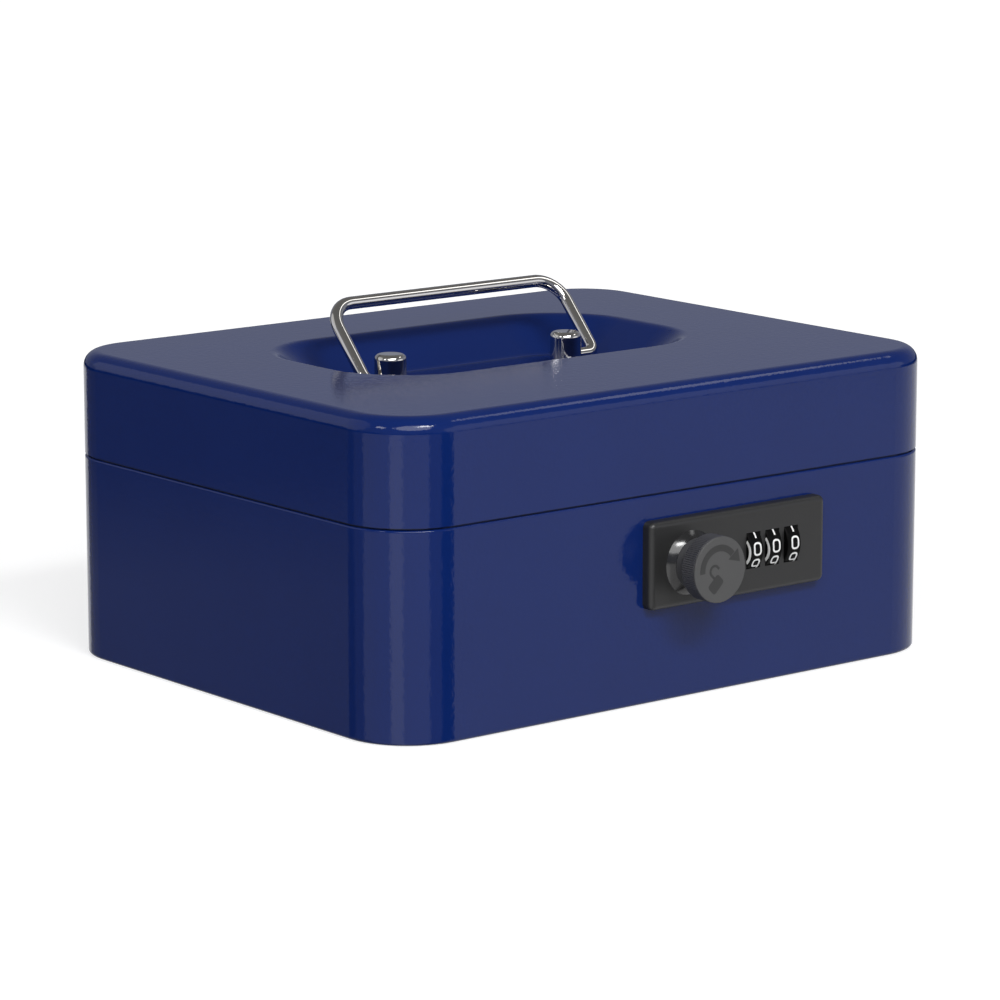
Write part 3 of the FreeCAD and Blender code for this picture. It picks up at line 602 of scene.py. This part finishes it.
camera_data = bpy.data.cameras.new("camera")
camera_data.sensor_width = 36.0
camera_data.lens = camera_data.sensor_width * FOCAL_PIXELS / IMAGE_WIDTH
camera = bpy.data.objects.new("camera", camera_data)
camera.location = CAMERA_PLACE
back = Vector((math.sin(CAMERA_AZIMUTH) * math.cos(CAMERA_ELEVATION),
               -math.cos(CAMERA_AZIMUTH) * math.cos(CAMERA_ELEVATION), math.sin(CAMERA_ELEVATION)))
camera.rotation_euler = (-back).to_track_quat("-Z", "Y").to_euler()
bpy.context.scene.collection.objects.link(camera)
bpy.context.scene.camera = camera
bpy.context.scene.view_settings.view_transform = "Standard"
print("lens", round(camera_data.lens, 1), "mm")

# %% [markdown]
# The floor
#
# The box stands on a plain white floor. It is pale, and glows for the camera, so that it reads as white and
# still keeps the shadow, while no extra light falls on the box. The glow grows with the distance from the
# box, where the lamps no longer reach.
#
# Glossy paint shows what stands around it. A photographer sets up white and black cards for that, just out
# of the picture. Here the floor glows with a painted reflection instead: for a mirrored ray its tone goes by
# the way that the ray travels, in degrees from straight ahead of the front wall, to the right. These painted
# reflection bands make the dark and bright lines down the rounded corner, a bright front and a dim left
# wall.
# The left wall's painted reflection grows dimmer towards its top.

# %% White floor
FLOOR_REACH = 30.0
FLOOR_DROP = 0.2 * MM
FLOOR_TONE = (0.5, 0.5, 0.5, 1)
NEAR_GLOW = 0.68
FAR_GLOW = 0.97
# Painted reflection: the tones that the floor shows only to mirrored rays, by the ray's direction in
# degrees.
REFLECTION_BANDS = [(-180, 0.29), (-139, 0.07), (-128, 0.22), (-110, 0.76), (-66, 1.6), (-46, 0.95), (-5, 0.33),
         (15, 0.0), (31, 0.9)]
REFLECTION_WHITE = 1.6
LEFT_REFLECTION_DIMMING = 0.57
GLOW_REACH = (0.25, 1.0)
DIMMING_REACH = (0.22, 0.4)
REFLECTION_REACH = (1.0, 0.6)


def white_floor():
    """Pale, glowing for the camera by the distance from the box. A mirrored ray sees a painted reflection,
    the tone of the band whose span of angles, atan2 of the ray's way along X and Y, it travels in."""
    floor = Finish("white_floor")
    ray = {name: floor.node("ShaderNodeLightPath", out="Is " + name + " Ray")
           for name in ("Camera", "Glossy", "Transmission")}
    away = floor.node("ShaderNodeVectorMath", {"operation": "LENGTH"}, {0: floor.place()}, "Value")
    glow = ray["Camera"] * (NEAR_GLOW + (FAR_GLOW - NEAR_GLOW) * floor.ramp(away, *GLOW_REACH))
    plain = floor.node("ShaderNodeAddShader", None, {
        0: floor.node("ShaderNodeBsdfDiffuse", None, {"Color": FLOOR_TONE}),
        1: floor.node("ShaderNodeEmission", None, {"Strength": glow})})

    incoming = floor.node("ShaderNodeNewGeometry", out="Incoming")
    x, y = [floor.node("ShaderNodeSeparateXYZ", None, {0: incoming}, axis) for axis in "XY"]
    angle = floor.node("ShaderNodeMath", {"operation": "ARCTAN2"}, {0: 0.0 - x, 1: y})
    turn = angle * (0.5 / math.pi) + 0.5
    # The painted reflection: a tone by the direction of the mirrored ray, dimmed on the left further from
    # the box.
    stops = [(degrees / 360 + 0.5, [tone / REFLECTION_WHITE] * 3) for degrees, tone in REFLECTION_BANDS]
    painted_band = floor.node("ShaderNodeValToRGB", {"stops": stops, "between": "CONSTANT"}, {0: turn})
    left = floor.node("ShaderNodeMath", {"operation": "LESS_THAN"}, {0: turn, 1: stops[1][0]})
    tone = REFLECTION_WHITE * painted_band * (1.0 - LEFT_REFLECTION_DIMMING * left * floor.ramp(away, *DIMMING_REACH))
    tone = tone * floor.ramp(away, *REFLECTION_REACH)
    mirrored = floor.node("ShaderNodeEmission", None, {"Strength": tone})
    in_mirror = ray["Glossy"] + ray["Transmission"]
    return floor.ended(floor.node("ShaderNodeMixShader", None, {0: in_mirror, 1: plain, 2: mirrored}))


r, drop = FLOOR_REACH, -FLOOR_DROP
floor_mesh = bpy.data.meshes.new("floor")
floor_mesh.from_pydata([(-r, -r, drop), (r, -r, drop), (r, r, drop), (-r, r, drop)], [], [(0, 1, 2, 3)])
floor_mesh.materials.append(white_floor())
floor_object = bpy.data.objects.new("floor", floor_mesh)
bpy.context.scene.collection.objects.link(floor_object)
floor_object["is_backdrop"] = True
print("floor tones in a mirror:", len(REFLECTION_BANDS))

# %% [markdown]
# Sky and lamps
#
# The room is dim and even, a little lighter and bluer at the horizon, where the top of the lid mirrors it.
# The broad key lamp stands above the camera: the front then gets the most light, the lid less and the left
# wall least. The others are there to be mirrored: the strip lamp draws the streak on the lid's corner and
# on the knob's collar, the left lamp a small shine beside it, the edge lamp the thin line along the lid's
# front edge, the side lamp the broad bright band along the bail, and the back lamp the paler left edge.

# %% Room light
HORIZON = (0.255, 0.27, 0.33)
LAMP_AIM = Vector((0.0, 0.0, 0.05))
SKY_STOPS = [(0.0, HORIZON), (0.28, HORIZON), (0.6, (0.18, 0.18, 0.18)), (1.0, (0.15, 0.15, 0.15))]


def dim_room():
    """A tone by the height of the direction: the sine of its elevation, from the horizon up."""
    room = Finish("room", bpy.data.worlds)
    way = room.node("ShaderNodeTexCoord", out="Generated")
    height = room.node("ShaderNodeSeparateXYZ", None, {0: way}, "Z")
    tone = room.node("ShaderNodeValToRGB", {"stops": SKY_STOPS}, {0: height})
    return room.ended(room.node("ShaderNodeBackground", None, {"Color": tone}), "ShaderNodeOutputWorld")


bpy.context.scene.world = dim_room()


def lamp(name, way, reach, width, height, power):
    """A soft oval lamp that faces the box from a direction and a distance."""
    data = bpy.data.lights.new(name, "AREA")
    data.shape = "ELLIPSE"
    data.size = width
    data.size_y = height
    data.energy = power
    made = bpy.data.objects.new(name, data)
    towards = Vector(way).normalized()
    made.location = LAMP_AIM + towards * reach
    made.rotation_euler = (-towards).to_track_quat("-Z", "Y").to_euler()
    bpy.context.scene.collection.objects.link(made)


lamp("key_lamp", (-0.40, -0.72, 0.60), reach=1.7, width=1.6, height=0.9, power=16.2)
lamp("strip_lamp", (-0.11, -0.72, 0.69), reach=1.7, width=0.75, height=0.22, power=10.5)
lamp("left_lamp", (-0.80, -0.14, 0.52), reach=1.6, width=0.35, height=0.3, power=2.0)
lamp("edge_lamp", (0.62, -0.25, 0.74), reach=1.4, width=0.6, height=0.18, power=0.6)
lamp("side_lamp", (0.62, -0.76, 0.16), reach=1.5, width=1.2, height=0.7, power=1.6)
lamp("back_lamp", (-0.75, 0.62, 0.45), reach=1.6, width=1.6, height=1.5, power=2.6)

# %% Print the sizes and finish
low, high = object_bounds()
print("visual box", [round(v, 4) for v in high - low])
